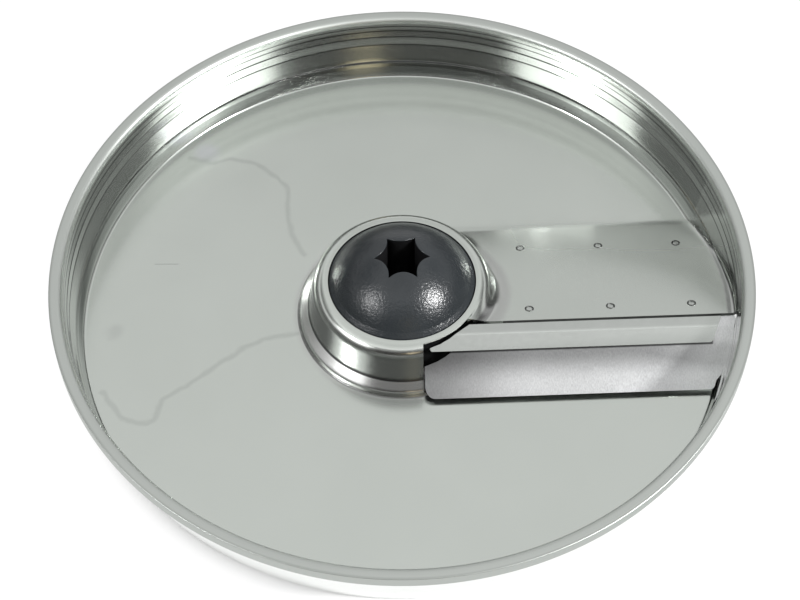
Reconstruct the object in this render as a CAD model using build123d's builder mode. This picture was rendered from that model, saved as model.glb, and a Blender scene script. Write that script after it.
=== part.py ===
"""Slicing disc of a food processor: pressed steel dish, welded blade, cover strip and moulded drive hub.

The axis of rotation is Z, the flat of the dish rests on z = 0 and the blade lies along +X.
All lengths are in millimetres, all heights of the dish are above the upper face of its flat.
Every bend of the sheet is given by its inside radius.
"""
import os
from math import atan, cos, radians, sqrt, tan

from build123d import *

# Pressed dish, from the outside inwards
sheet = 0.6               # steel thickness
disc_radius = 72.5        # cut edge of the lip
lip_height = 16.0         # top of the lip
lip_level = 2.2           # level part of the lip, between its bend and its cut edge
lip_bend = 0.1
upper_wall_lean = 0.15    # how far the rim wall leans outwards above the bead
bead_height = 10.6        # second, smaller step in the rim
bead_width = 0.25
bead_rise = 0.3
bead_outer_bend = 0.2
bead_inner_bend = 0.1
middle_wall_lean = 0.05
ledge_height = 3.9        # first step in the rim
ledge_width = 0.9
ledge_rise = 0.5
ledge_outer_bend = 0.35
ledge_inner_bend = 0.2
lower_wall_lean = 1.1
flat_bend = 0.8           # where the flat turns up into the rim

# Drawn collar round the hub, from the inside outwards
opening_radius = 15.35    # hole that the hub shows through
collar_height = 11.3      # top ring
ring_width = 2.15
ring_bend = 1.6
collar_wall_lean = 2.25
crease_bend = 0.5
step_height = 3.6         # shoulder of the collar's lower ring
step_width = 1.7
step_fall = 0.2
step_bend = 1.05
foot_lean = 0.3
foot_bend = 0.7

# Raised slot: a ramp lifted out of the flat, open at its cut edge
fold_y = 21.4             # where the ramp leaves the flat
fold_bend = 6.0
crest_y = -10.62          # cut edge of the ramp
crest_drop = 1.05         # cut edge of the ramp below the collar's top ring
slot_left_x = 3.6
slot_length = 10.68       # from the ramp's cut edge to the front of the slot
slot_ring_width = 0.75    # what is left of the collar's top ring beside the slot
slot_rim_margin = 0.7     # flat left between the slot and the rim

# Blade
blade_thickness = 0.6
edge_height = 2.2         # slice thickness: cutting edge above the flat
edge_overhang = 2.6       # cutting edge in front of the slot
edge_bevel = 1.6          # width of the ground bevel underneath
edge_land = 0.08          # steel left at the very edge
knee_run = 1.98           # from the ramp's cut edge to the line where the blade turns down more steeply
knee_fall = 20.0          # degrees below level between that edge and that line
knee_bend = 0.9
blade_bend = 0.8          # bend under the ramp's cut edge
blade_clearance = 0.3     # between the ends of the blade and the sheet
blade_back_margin = 0.5   # how far the blade's full width reaches under the ramp
blade_collar_gap = 2.1    # between the collar's remaining ring and the blade
notch_run = 2.2           # step in the blade's end that clears the ledge of the rim
notch_clearance = 0.2
blade_corner = 2.0
blade_round = 1.0
flange_collar_gap = 0.25  # flange under the ramp
flange_end_margin = 1.4
flange_back_margin = 4.0

# Cover strip on the blade, level with the ramp
strip_thickness = 0.6
strip_gap = 0.28          # between the ramp's cut edge and the strip
strip_ring_gap = 0.1      # between the collar's remaining ring and the strip
strip_tip_inset = 1.09    # left tip of the strip behind the front of the ring that it is cut round
strip_tip_height = 0.65
strip_trim = 4.3          # left end of the strip's back edge, beside the collar
strip_end_inset = 2.9     # right end of the strip from the end of the blade
strip_taper = 2.15
strip_round = 0.5

# Spot welds through ramp and blade flange
weld_columns = 3
weld_side_margin = 3.97
weld_back_margin = 3.5
weld_front_margin = 3.68
weld_radius = 0.8
weld_depth = 0.12

# Moulded hub
hub_clearance = 0.25      # between the hub and the collar's opening
hub_flange_margin = 0.3   # shoulder of the hub from the edge of the collar's remaining ring
hub_flange_thickness = 1.2
hub_band_width = 0.9      # narrow band inside the opening
hub_band_rise = 0.9
dome_rise = 7.74
hub_wall = 2.2
hub_foot = 0.3            # gap between the hub and the surface that the disc lies on
sleeve_wall = 2.7         # round the tips of the socket
rib_thickness = 1.4
rib_count = 6
star_points = 6
star_tip_radius = 5.66
star_depth = 1.5
star_tip_round = 0.25

# Radii of the dish
rim_top_radius = disc_radius - lip_level - lip_bend - sheet
bead_radius = rim_top_radius - upper_wall_lean
ledge_radius = bead_radius - bead_width - middle_wall_lean
flat_radius = ledge_radius - ledge_width - lower_wall_lean
ring_radius = opening_radius + ring_width
crease_radius = ring_radius + collar_wall_lean
step_radius = crease_radius + step_width
foot_radius = step_radius + foot_lean

# Ramp
flat_top = sheet
below = -4 * sheet        # foot of the working volumes under the disc
crest_height = collar_height - crest_drop
ramp_slope = crest_height / (fold_y - crest_y)
ramp_drop = sheet / cos(atan(ramp_slope))
under_fold_y = fold_y + (sheet - ramp_drop) / ramp_slope
slot_front_y = crest_y - slot_length
slot_ring_radius = opening_radius + slot_ring_width
ramp_plane = Plane(origin=(0, fold_y, flat_top), x_dir=(1, 0, 0), z_dir=(0, ramp_slope, 1))


def on_circle(radius, y):
    """Point of a circle about the axis, on the blade's side, at the given y."""
    return (sqrt(radius**2 - y**2), y)


def ramp_top(y):
    """Height of the ramp's upper face."""
    return flat_top + ramp_slope * (fold_y - y)


def ramp_under(y):
    """Height of the ramp's lower face."""
    return ramp_top(y) - ramp_drop


def turns_up(before, corner, after):
    """Whether the sheet's section bends upwards at a corner."""
    into = Vector(*corner) - Vector(*before)
    out = Vector(*after) - Vector(*corner)
    return into.cross(out).Z > 0


def lower_corner(before, corner, after):
    """Corner of the sheet's lower face under a corner of its upper face."""
    into = (Vector(*corner) - Vector(*before)).normalized()
    out = (Vector(*after) - Vector(*corner)).normalized()
    down_in = Vector(into.Y, -into.X)
    down_out = Vector(out.Y, -out.X)
    moved = Vector(*corner) + (down_in + down_out) * (sheet / (1 + down_in.dot(down_out)))
    return (moved.X, moved.Y)


# Section of the dish, from the hub opening to the edge of the lip: corners of the upper face with their bends
dish_corners = [
    (ring_radius, collar_height, ring_bend),
    (crease_radius, step_height + step_fall / 2, crease_bend),
    (step_radius, step_height - step_fall / 2, step_bend),
    (foot_radius, 0, foot_bend),
    (flat_radius, 0, flat_bend),
    (ledge_radius - ledge_width, ledge_height - ledge_rise, ledge_inner_bend),
    (ledge_radius, ledge_height, ledge_outer_bend),
    (bead_radius - bead_width, bead_height - bead_rise, bead_inner_bend),
    (bead_radius, bead_height, bead_outer_bend),
    (rim_top_radius, lip_height, lip_bend),
]
upper_start = (opening_radius, flat_top + collar_height)
upper_end = (disc_radius, flat_top + lip_height)
upper_points = [upper_start] + [(r, flat_top + z) for r, z, bend in dish_corners] + [upper_end]
triples = list(zip(upper_points, upper_points[1:], upper_points[2:]))
bends = [bend for r, z, bend in dish_corners]
upper_bends = [bend if turns_up(*triple) else bend + sheet for triple, bend in zip(triples, bends)]

lower_start = (opening_radius, collar_height)
lower_end = (disc_radius, upper_end[1] - sheet)
lower_points = [lower_start] + [lower_corner(*triple) for triple in triples] + [lower_end]
lower_bends = [bend + sheet if turns_up(*triple) else bend for triple, bend in zip(triples, bends)]

# Blade's upper face and ground bevel, seen along the blade
edge_y = slot_front_y - edge_overhang
knee_y = crest_y - knee_run
blade_crest = (crest_y, ramp_under(crest_y))
blade_knee = (knee_y, blade_crest[1] - knee_run * tan(radians(knee_fall)))
blade_edge = (edge_y, flat_top + edge_height)
blade_fall = (Vector(*blade_edge) - Vector(*blade_knee)).normalized()
blade_down = Vector(-blade_fall.Y, blade_fall.X)
bevel_start = Vector(*blade_edge) + blade_down * edge_land
bevel_corner = Vector(*blade_edge) + blade_down * blade_thickness
bevel_end = bevel_corner - blade_fall * edge_bevel

# Blade's outline, seen from above
blade_slope = blade_fall.Y / blade_fall.X
blade_drop = blade_thickness / -blade_fall.X
notch_y = edge_y + (ledge_height + notch_clearance + blade_drop - edge_height) / blade_slope
blade_left_x = slot_left_x + blade_clearance
blade_end_radius = ledge_radius - blade_clearance
blade_hub_radius = slot_ring_radius + blade_collar_gap
blade_back_y = crest_y + blade_back_margin
blade_top_right = on_circle(blade_end_radius, blade_back_y)
blade_notch_top = on_circle(blade_end_radius, notch_y)
blade_notch_foot = on_circle(flat_radius, notch_y - notch_run)
blade_foot_right = on_circle(flat_radius, edge_y)
blade_foot_left = (blade_left_x, edge_y)
blade_hub_low = (blade_left_x, -sqrt(blade_hub_radius**2 - blade_left_x**2))
blade_hub_high = on_circle(blade_hub_radius, blade_back_y)
blade_end_middle = on_circle(blade_end_radius, (blade_back_y + notch_y) / 2)
blade_hub_middle = on_circle(blade_hub_radius, (blade_hub_low[1] + blade_back_y) / 2)
blade_roundings = [
    (blade_foot_left, blade_corner),
    (blade_foot_right, blade_round),
    (blade_notch_foot, blade_round),
    (blade_notch_top, blade_round),
    (blade_top_right, blade_round),
]
flange_back_y = fold_y - flange_back_margin
flange_left_x = foot_radius + flange_collar_gap
flange_right_x = on_circle(flat_radius, flange_back_y)[0] - flange_end_margin

# Cover strip's outline, seen from above
strip_back_y = crest_y - strip_gap
strip_hub_radius = slot_ring_radius + strip_ring_gap
strip_tip_top = on_circle(strip_hub_radius, strip_tip_inset - strip_hub_radius)
strip_front_y = strip_tip_top[1] - strip_tip_height
strip_tip_foot = (strip_tip_top[0], strip_front_y)
strip_hub_high = on_circle(strip_hub_radius, knee_y)
strip_hub_middle = on_circle(strip_hub_radius, (strip_tip_top[1] + knee_y) / 2)
strip_back_left = (on_circle(strip_hub_radius, strip_back_y)[0] + strip_trim, strip_back_y)
strip_back_right = (on_circle(blade_end_radius, strip_back_y)[0] - strip_end_inset, strip_back_y)
strip_foot_right = (strip_back_right[0] - strip_taper, strip_front_y)

# Weld marks, placed on the ramp
weld_pitch = (flange_right_x - flange_left_x - 2 * weld_side_margin) / (weld_columns - 1)
weld_ball = (weld_radius**2 + weld_depth**2) / (2 * weld_depth)
weld_places = [
    (
        flange_left_x + weld_side_margin + column * weld_pitch,
        (y - fold_y) / cos(atan(ramp_slope)),
        weld_ball - weld_depth,
    )
    for y in (flange_back_y - weld_back_margin, crest_y + weld_front_margin)
    for column in range(weld_columns)
]

# Hub's section
hub_radius = opening_radius - hub_clearance
hub_flange_radius = slot_ring_radius - hub_flange_margin
ring_top = flat_top + collar_height
ring_under = ring_top - sheet
flange_under = ring_under - hub_flange_thickness
dome_edge = (hub_radius - hub_band_width, ring_top + hub_band_rise)
dome_top = dome_edge[1] + dome_rise
dome_radius = (dome_edge[0]**2 + dome_rise**2) / (2 * dome_rise)
inner_dome_radius = dome_radius - hub_wall
sleeve_radius = star_tip_radius + sleeve_wall
hollow_radius = hub_radius - hub_wall
dome_centre = dome_top - dome_radius
hollow_outer = (hollow_radius, dome_centre + sqrt(inner_dome_radius**2 - hollow_radius**2))
hollow_inner = (sleeve_radius, dome_centre + sqrt(inner_dome_radius**2 - sleeve_radius**2))

# Space under the ramp's upper face, and space under its lower face
with BuildPart() as ramp_upper:
    with BuildSketch(Plane.YZ):
        with BuildLine():
            FilletPolyline(
                (fold_y + fold_bend, flat_top), (fold_y, flat_top), (crest_y, ramp_top(crest_y)),
                radius=fold_bend,
            )
            Polyline(
                (crest_y, ramp_top(crest_y)), (crest_y, below),
                (fold_y + fold_bend, below), (fold_y + fold_bend, flat_top),
            )
        make_face()
    extrude(amount=disc_radius)
    Cylinder(disc_radius, 4 * lip_height, mode=Mode.INTERSECT)

with BuildPart() as ramp_lower:
    with BuildSketch(Plane.YZ):
        with BuildLine():
            FilletPolyline(
                (fold_y + fold_bend, 0), (under_fold_y, 0), (crest_y, ramp_under(crest_y)),
                radius=fold_bend + sheet,
            )
            Polyline(
                (crest_y, ramp_under(crest_y)), (crest_y, below),
                (fold_y + fold_bend, below), (fold_y + fold_bend, 0),
            )
        make_face()
    extrude(amount=disc_radius)
    Cylinder(disc_radius, 4 * lip_height, mode=Mode.INTERSECT)

# Space under the upper face of the whole sheet, and space under its lower face
with BuildPart() as upper_space:
    with BuildSketch(Plane.XZ):
        with BuildLine():
            FilletPolyline(*upper_points, radius=upper_bends)
            Polyline(upper_end, (disc_radius, below), (opening_radius, below), upper_start)
        make_face()
    revolve(axis=Axis.Z)
    add(ramp_upper.part)

with BuildPart() as lower_space:
    with BuildSketch(Plane.XZ):
        with BuildLine():
            FilletPolyline(*lower_points, radius=lower_bends)
            Polyline(lower_end, (disc_radius, below), (opening_radius, below), lower_start)
        make_face()
    revolve(axis=Axis.Z)
    add(ramp_lower.part)

# Pressed disc: the sheet between the two, with the hub opening, the slot and the weld marks
with BuildPart() as disc:
    add(upper_space.part)
    add(lower_space.part, mode=Mode.SUBTRACT)
    Cylinder(opening_radius, 4 * lip_height, mode=Mode.SUBTRACT)
    with BuildSketch(Plane.XY.offset(below)):
        Circle(flat_radius - slot_rim_margin)
        Circle(slot_ring_radius, mode=Mode.SUBTRACT)
        with Locations((slot_left_x, slot_front_y)):
            Rectangle(disc_radius, slot_length, align=(Align.MIN, Align.MIN), mode=Mode.INTERSECT)
    extrude(amount=2 * lip_height, mode=Mode.SUBTRACT)
    with Locations(ramp_plane):
        with Locations(*weld_places):
            Sphere(weld_ball, mode=Mode.SUBTRACT)

# Blade: bent sheet under the ramp, trimmed to its outline from above, with the edge ground underneath
with BuildPart() as blade:
    with BuildSketch(Plane.YZ):
        with BuildLine():
            FilletPolyline(
                (flange_back_y, ramp_under(flange_back_y)), blade_crest, blade_knee, blade_edge,
                radius=[blade_bend + blade_thickness, knee_bend + blade_thickness],
            )
            offset(amount=blade_thickness, side=Side.LEFT)
        make_face()
    extrude(amount=disc_radius)
    with BuildSketch(Plane.XY.offset(below)) as blade_outline:
        with BuildLine():
            ThreePointArc(blade_top_right, blade_end_middle, blade_notch_top)
            Polyline(blade_notch_top, blade_notch_foot, blade_foot_right, blade_foot_left, blade_hub_low)
            ThreePointArc(blade_hub_low, blade_hub_middle, blade_hub_high)
            Line(blade_hub_high, blade_top_right)
        make_face()
        for corner, rounding in blade_roundings:
            fillet(blade_outline.vertices().sort_by_distance(corner)[0], rounding)
        with Locations((flange_left_x, crest_y)):
            Rectangle(flange_right_x - flange_left_x, flange_back_y - crest_y, align=(Align.MIN, Align.MIN))
    extrude(amount=2 * lip_height, mode=Mode.INTERSECT)
    with BuildSketch(Plane.YZ):
        with BuildLine():
            Polyline(bevel_start, bevel_corner, bevel_end, close=True)
        make_face()
    extrude(amount=disc_radius, mode=Mode.SUBTRACT)

# Cover strip: follows the blade's upper face in front of the ramp
with BuildPart() as cover_strip:
    with BuildSketch(Plane.YZ):
        with BuildLine():
            FilletPolyline(blade_crest, blade_knee, blade_edge, radius=knee_bend + blade_thickness)
            offset(amount=strip_thickness, side=Side.RIGHT)
        make_face()
    extrude(amount=disc_radius)
    with BuildSketch(Plane.XY.offset(below)) as strip_outline:
        with BuildLine():
            Line(strip_tip_foot, strip_tip_top)
            ThreePointArc(strip_tip_top, strip_hub_middle, strip_hub_high)
            Polyline(strip_hub_high, strip_back_left, strip_back_right, strip_foot_right, strip_tip_foot)
        make_face()
        for corner in (strip_tip_foot, strip_foot_right):
            fillet(strip_outline.vertices().sort_by_distance(corner)[0], strip_round)
    extrude(amount=2 * lip_height, mode=Mode.INTERSECT)

# Spaces between the ribs inside the hub
with BuildPart() as hub_hollow:
    with BuildSketch(Plane.XZ):
        with BuildLine():
            Polyline(hollow_outer, (hollow_radius, below), (sleeve_radius, below), hollow_inner)
            RadiusArc(hollow_inner, hollow_outer, inner_dome_radius)
        make_face()
    revolve(axis=Axis.Z)
    with PolarLocations(0, rib_count, start_angle=180 / rib_count):
        Box(
            opening_radius, rib_thickness, 4 * lip_height,
            align=(Align.MIN, Align.CENTER, Align.CENTER), mode=Mode.SUBTRACT,
        )

# Moulded hub: domed plug with a shoulder under the collar's top ring, ribs and a star socket
with BuildPart() as hub:
    with BuildSketch(Plane.XZ):
        with BuildLine():
            Polyline(
                (0, dome_top), (0, hub_foot), (hub_radius, hub_foot), (hub_radius, flange_under),
                (hub_flange_radius, flange_under), (hub_flange_radius, ring_under), (hub_radius, ring_under),
                (hub_radius, ring_top), dome_edge,
            )
            RadiusArc(dome_edge, (0, dome_top), -dome_radius)
        make_face()
    revolve(axis=Axis.Z)
    add(hub_hollow.part, mode=Mode.SUBTRACT)
    with BuildSketch(Plane.XY.offset(below)) as star:
        with BuildLine():
            for point in range(star_points):
                ThreePointArc(
                    Vector(star_tip_radius, 0).rotate(Axis.Z, 360 / star_points * point),
                    Vector(star_tip_radius - star_depth, 0).rotate(Axis.Z, 360 / star_points * (point + 0.5)),
                    Vector(star_tip_radius, 0).rotate(Axis.Z, 360 / star_points * (point + 1)),
                )
        make_face()
        fillet(star.vertices(), star_tip_round)
    extrude(amount=2 * dome_top, mode=Mode.SUBTRACT)

os.makedirs("parts", exist_ok=True)
disc.part.label = "disc"
export_step(disc.part, "parts/disc.step")
blade.part.label = "blade"
export_step(blade.part, "parts/blade.step")
cover_strip.part.label = "cover_strip"
export_step(cover_strip.part, "parts/cover_strip.step")
hub.part.label = "hub"
export_step(hub.part, "parts/hub.step")
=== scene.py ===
"""Slicing disc of a food processor: pressed steel dish with a raised slot, knife, cover plate and hub.

Lengths in the tables are millimetres and the meshes are in metres. Heights of the dish are above its flat.
"""

from math import acos, atan, cos, pi, radians, sin, sqrt, tan

import bmesh
import bpy
import numpy as np
from mathutils import Matrix, Vector


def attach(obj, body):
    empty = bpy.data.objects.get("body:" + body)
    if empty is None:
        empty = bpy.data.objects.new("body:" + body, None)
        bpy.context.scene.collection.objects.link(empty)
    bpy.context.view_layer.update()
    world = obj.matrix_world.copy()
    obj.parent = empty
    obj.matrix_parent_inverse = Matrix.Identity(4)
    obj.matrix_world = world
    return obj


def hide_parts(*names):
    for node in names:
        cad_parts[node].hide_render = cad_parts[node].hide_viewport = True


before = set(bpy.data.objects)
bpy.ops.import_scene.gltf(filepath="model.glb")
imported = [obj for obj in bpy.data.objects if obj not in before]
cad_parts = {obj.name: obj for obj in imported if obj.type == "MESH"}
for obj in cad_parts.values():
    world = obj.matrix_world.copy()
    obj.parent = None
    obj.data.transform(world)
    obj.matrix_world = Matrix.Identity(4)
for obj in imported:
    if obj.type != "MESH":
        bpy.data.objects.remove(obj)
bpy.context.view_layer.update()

MM = 0.001
SHEET = 0.6

# Section of the dish: radius, height above the flat and bend radius at each corner of its upper face
OPENING_RADIUS, COLLAR_HEIGHT, COLLAR_FOOT = 15.35, 11.3, 21.8
RIM_FOOT, LIP_RADIUS, LIP_HEIGHT, LIP_FOOT = 67.05, 72.2, 16.0, 13.6
COLLAR = [(18.1, COLLAR_HEIGHT, 2.8), (19.6, 3.1, 0.5), (21.55, 1.35, 1.0), (COLLAR_FOOT, 0.0, 0.35)]
RIM = [
    (RIM_FOOT, 0.0, 0.5), (67.8, 2.6, 1.0), (67.99, 3.6, 0.4), (68.25, 4.0, 0.3), (68.83, 8.45, 0.1),
    (68.9, 8.75, 0.1), (69.05, 10.8, 0.2), (69.14, 11.15, 0.12), (69.39, 13.2, 0.3), (69.48, 14.4, 0.3),
    (69.55, LIP_HEIGHT, 1.2), (LIP_RADIUS, LIP_HEIGHT, 0.2)]

# Heights of the thin dark lines of painted shade round the rim walls, above the surface that the disc lies on
PAINTED_SHADE_LINES = (14.55, 13.25, 11.55, 9.25)

# Raised slot, with how far its seam and its lift reach into the rim
FOLD_Y, CREST_Y, CREST_HEIGHT, FOLD_BEND = 21.4, -10.62, 10.25, 6.0
SLOPE = CREST_HEIGHT / (FOLD_Y - CREST_Y)
SLOPE_COS = cos(atan(SLOPE))
SLOT_FRONT_Y, SLOT_LEFT_X, SLOT_RING_RADIUS, SLOT_END_RADIUS = -21.3, 3.6, 16.6, 66.45
SEAM_END_RADIUS, LIFT_END_RADIUS = 69.3, 69.47

# Knife and cover plate, seen along the knife
EDGE_Y, EDGE_HEIGHT, KNEE_Y, KNEE_FALL = -23.18, 1.2, -12.6, 20.0
KNIFE_THICKNESS, PLATE_THICKNESS = 0.6, 0.6
BEVEL_WIDTH, EDGE_LAND = 1.6, 0.08

# Ends of the knife and of its flange under the ramp, seen from above
KNIFE_LEFT_X, KNIFE_COLLAR_RADIUS, KNIFE_END_RADIUS, KNIFE_FOOT_RADIUS = 3.9, 18.2, 68.85, 67.15
FLANGE_LEFT_X, FLANGE_RIGHT_X, FLANGE_BACK_Y = 22.0, 63.4, 17.4

# Hub
HUB_RADIUS, SHOULDER_RADIUS, SHOULDER_THICKNESS, HUB_FOOT = 15.1, 15.8, 1.2, 0.3
RING_TOP = SHEET + COLLAR_HEIGHT
DOME_EDGE_RADIUS, DOME_EDGE_Z, DOME_RISE = 14.2, RING_TOP + 0.9, 7.66
DOME_RADIUS = (DOME_EDGE_RADIUS**2 + DOME_RISE**2) / (2 * DOME_RISE)
DOME_CENTRE_Z = DOME_EDGE_Z + DOME_RISE - DOME_RADIUS
STAR_TIP, STAR_VALLEY, STAR_BLUNT = 5.85, 3.95, 0.16
SLEEVE_RADIUS, HUB_WALL, RIB_THICKNESS, RIB_COUNT = 8.36, 2.2, 1.4, 6

# Spot welds on the ramp
WELD_X, WELD_PITCH, WELD_COLUMNS, WELD_BACK_Y, WELD_FRONT_Y = 25.97, 16.78, 3, 13.9, -6.94

# Water marks, a scratch and two spots on the flat, seen from above
UPPER_MARK = [(-45.5, 44.3), (-40.4, 42.4), (-36.8, 43.7), (-31.2, 42.2), (-26.7, 38.3), (-23.9, 34.4),
              (-23.9, 26.5), (-22.9, 20.9), (-20.6, 15.9)]
LOWER_MARK = [(-20.8, -4.4), (-29.0, -5.6), (-34.2, -8.5), (-41.6, -14.2), (-49.9, -20.2), (-51.8, -25.3),
              (-53.4, -25.9), (-58.1, -24.5), (-62.5, -17.7)]
SCRATCH = [(-52.6, 14.8), (-47.7, 14.6)]
PALE_SPOT, DULL_SPOT = (-42.0, 45.9), (-60.5, -2.7)


# Section lines

def rounded_line(points, radii, step=radians(9)):
    """Polyline with an arc of the given radius at each inner corner."""
    points = [np.array(p, float) for p in points]
    line = [points[0]]
    for before, corner, after, radius in zip(points, points[1:], points[2:], radii):
        into = (corner - before) / np.linalg.norm(corner - before)
        out = (after - corner) / np.linalg.norm(after - corner)
        turn = acos(np.clip(into @ out, -1, 1))
        if turn < 1e-6 or radius <= 0:
            line.append(corner)
            continue
        start = corner - into * radius * tan(turn / 2)
        side = np.sign(into[0] * out[1] - into[1] * out[0])
        centre = start + side * radius * np.array((-into[1], into[0]))
        arm = start - centre
        steps = max(2, int(np.ceil(turn / step)))
        for i in range(steps + 1):
            angle = side * turn * i / steps
            line.append(centre + np.array((arm[0] * cos(angle) - arm[1] * sin(angle),
                                           arm[0] * sin(angle) + arm[1] * cos(angle))))
    line.append(points[-1])
    return np.array(line)


def dish_section(step):
    """Upper face of the dish from the hub opening to the lip's lower edge, as radius and height."""
    corners = COLLAR + RIM
    points = [(OPENING_RADIUS, COLLAR_HEIGHT)] + [(r, z) for r, z, bend in corners] + [(LIP_RADIUS, LIP_FOOT)]
    return rounded_line(points, [bend for r, z, bend in corners], step)


def with_radii(line, radii):
    """The section with extra points at the given radii."""
    line = [tuple(p) for p in line]
    for radius in radii:
        for i, (a, b) in enumerate(zip(line, line[1:])):
            if a[0] + 1e-6 < radius < b[0] - 1e-6:
                t = (radius - a[0]) / (b[0] - a[0])
                line.insert(i + 1, (radius, a[1] + t * (b[1] - a[1])))
                break
    return np.array(line)


def divided(line, longest):
    """The section with no straight run longer than the given length."""
    out = [line[0]]
    for a, b in zip(line, line[1:]):
        parts = max(1, int(np.ceil(np.linalg.norm(b - a) / longest)))
        out += [a + (b - a) * i / parts for i in range(1, parts + 1)]
    return np.array(out)


def ramp_height(y):
    """Height of the ramp's upper face, with its soft fold."""
    y = np.asarray(y, float)
    bent = FOLD_BEND * sin(atan(SLOPE))
    along = FOLD_Y + FOLD_BEND * tan(atan(SLOPE) / 2) - y
    bend = FOLD_BEND - np.sqrt(np.maximum(FOLD_BEND**2 - np.clip(along, 0, bent)**2, 0))
    return np.where(along <= 0, 0, np.where(along < bent, bend, SLOPE * (FOLD_Y - y)))


# Mesh helpers

def skin(bm, rings):
    """Faces between neighbouring rings of points, as one list for each pair of rings."""
    rows = []
    for a, b in zip(rings, rings[1:]):
        after = a[1:] + a[:1], b[1:] + b[:1]
        rows.append([bm.faces.new(corners) for corners in zip(a, b, after[1], after[0])])
    return rows


def thicken(bm, thickness, under_finish=None, edge_finish=None):
    """Gives a sheet of upper faces its lower face and cut edges. thickness maps a vertex to millimetres."""
    bm.normal_update()
    top_verts, top_faces = list(bm.verts), list(bm.faces)
    rims = [(e.verts[0], e.verts[1], e.link_faces[0]) for e in bm.edges if len(e.link_faces) == 1]
    under = {v: bm.verts.new(v.co - v.normal * thickness(v) * MM) for v in top_verts}
    for face in top_faces:
        lower = bm.faces.new([under[v] for v in reversed(face.verts)])
        if under_finish:
            lower.material_index = under_finish(face.calc_center_median() / MM)
    for a, b, face in rims:
        loop = next(l for l in face.loops if {l.vert, l.link_loop_next.vert} == {a, b})
        first, second = loop.vert, loop.link_loop_next.vert
        side = bm.faces.new((second, first, under[first], under[second]))
        if edge_finish:
            side.material_index = edge_finish((first.co + second.co) / 2 / MM)
    bm.normal_update()


def cut(bm, axis, value, wanted):
    """Cuts the wanted faces along a plane across the given axis."""
    normal = Vector((1, 0, 0)) if axis == "x" else Vector((0, 1, 0))
    faces = [f for f in bm.faces if wanted(f.calc_center_median() / MM)]
    geometry = faces + list({e for f in faces for e in f.edges}) + list({v for f in faces for v in f.verts})
    bmesh.ops.bisect_plane(bm, geom=geometry, dist=1e-7, plane_co=normal * value * MM, plane_no=normal)


def settle(piece):
    """Applies a piece's modifiers to its mesh."""
    evaluated = piece.evaluated_get(bpy.context.evaluated_depsgraph_get())
    mesh = bpy.data.meshes.new_from_object(evaluated)
    old = piece.data
    piece.modifiers.clear()
    piece.data = mesh
    mesh.name = piece.name
    bpy.data.meshes.remove(old)


def piece_of(name, mesh):
    piece = bpy.data.objects.new(name, mesh)
    bpy.context.scene.collection.objects.link(piece)
    return piece


def enrol(piece, node=None):
    """Fixes a piece to the disc and, where it stands for a CAD node, hides that node."""
    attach(piece, "root")
    if node:
        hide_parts(node)


def finished(name, bm, finishes, node, edge=0.0):
    """Turns a bmesh into a piece with its cut edges rounded."""
    mesh = bpy.data.meshes.new(name)
    bm.to_mesh(mesh)
    bm.free()
    for finish in finishes:
        mesh.materials.append(finish)
    mesh.polygons.foreach_set("use_smooth", [True] * len(mesh.polygons))
    piece = piece_of(name, mesh)
    if edge:
        rounding = piece.modifiers.new("edges", "BEVEL")
        rounding.width = edge * MM
        rounding.segments = 2
        rounding.limit_method = "ANGLE"
        rounding.angle_limit = radians(50)
        rounding.harden_normals = True
        settle(piece)
    enrol(piece, node)


# Pressed dish

def signed_distance(line, r, z):
    """Distance of points from a section line, positive above it."""
    a, d = line[:-1], line[1:] - line[:-1]
    p = np.stack((r, z), -1)[:, None, :] - a[None]
    t = np.clip((p * d).sum(-1) / (d * d).sum(-1), 0, 1)
    gap = np.linalg.norm(p - t[..., None] * d, axis=-1)
    nearest = gap.argmin(1)
    row = np.arange(len(r))
    side = d[nearest, 0] * p[row, nearest, 1] - d[nearest, 1] * p[row, nearest, 0]
    return gap.min(1) * np.where(side >= 0, 1, -1)


def soft_floor(r, floor, line, blend):
    """Height at which the ramp runs into a wall with a soft inner corner."""
    low, high = floor - 0.5, floor + 12
    for _ in range(34):
        z = (low + high) / 2
        wall = signed_distance(line, r, z)
        rise = (z - floor) * SLOPE_COS
        overlap = np.maximum(blend - np.abs(wall - rise), 0) / blend
        below = np.minimum(wall, rise) - overlap**2 * blend / 4 < 0
        low, high = np.where(below, z, low), np.where(below, high, z)
    return (low + high) / 2


def raise_ramp(bm):
    """Lifts the ramp out of the flat, with soft corners to the collar and to the rim."""
    section = dish_section(radians(1.5))
    walls, below = section[section[:, 1] > 0.9], -6.0
    collar = np.vstack((walls[walls[:, 0] < COLLAR_FOOT], [(COLLAR_FOOT, below)]))
    rim = np.vstack(([(RIM_FOOT - 1.85, below)], walls[walls[:, 0] > RIM_FOOT]))
    raised = [v for v in bm.verts if v.co.x > 0 and CREST_Y - 1e-3 < v.co.y / MM < FOLD_Y + 1.2
              and all(f.calc_center_median().y / MM > CREST_Y for f in v.link_faces)]
    at = np.array([tuple(v.co) for v in raised]) / MM
    r, y, z = np.hypot(at[:, 0], at[:, 1]), at[:, 1], at[:, 2] - SHEET
    floor = ramp_height(y)
    lift = np.maximum(z, floor)
    ease = np.clip((FOLD_Y + 0.9 - y) / 2.5, 0, 1)
    ease = ease * ease * (3 - 2 * ease)

    # Soft corner beside the collar, whose width changes along y, and a narrow one beside the rim
    inner = (r < 32) & (r > SLOT_RING_RADIUS + 0.2)
    blend = np.interp(y, (-11, -5, 1, 5, 12, 17, 22), (2.6, 2.8, 2.2, 1.4, 1.3, 2.2, 2.6))
    solved = soft_floor(r[inner], floor[inner], collar, blend[inner])
    lift[inner] += (np.maximum(solved, lift[inner]) - lift[inner]) * ease[inner]
    outer = (r > 60) & (r < LIFT_END_RADIUS)
    solved = soft_floor(r[outer], floor[outer], rim, np.full(outer.sum(), 1.2))
    lift[outer] += (np.clip(solved, lift[outer], lift[outer] + 1.5) - lift[outer]) * ease[outer]
    for v, height in zip(raised, lift):
        v.co.z = (SHEET + height) * MM
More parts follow.
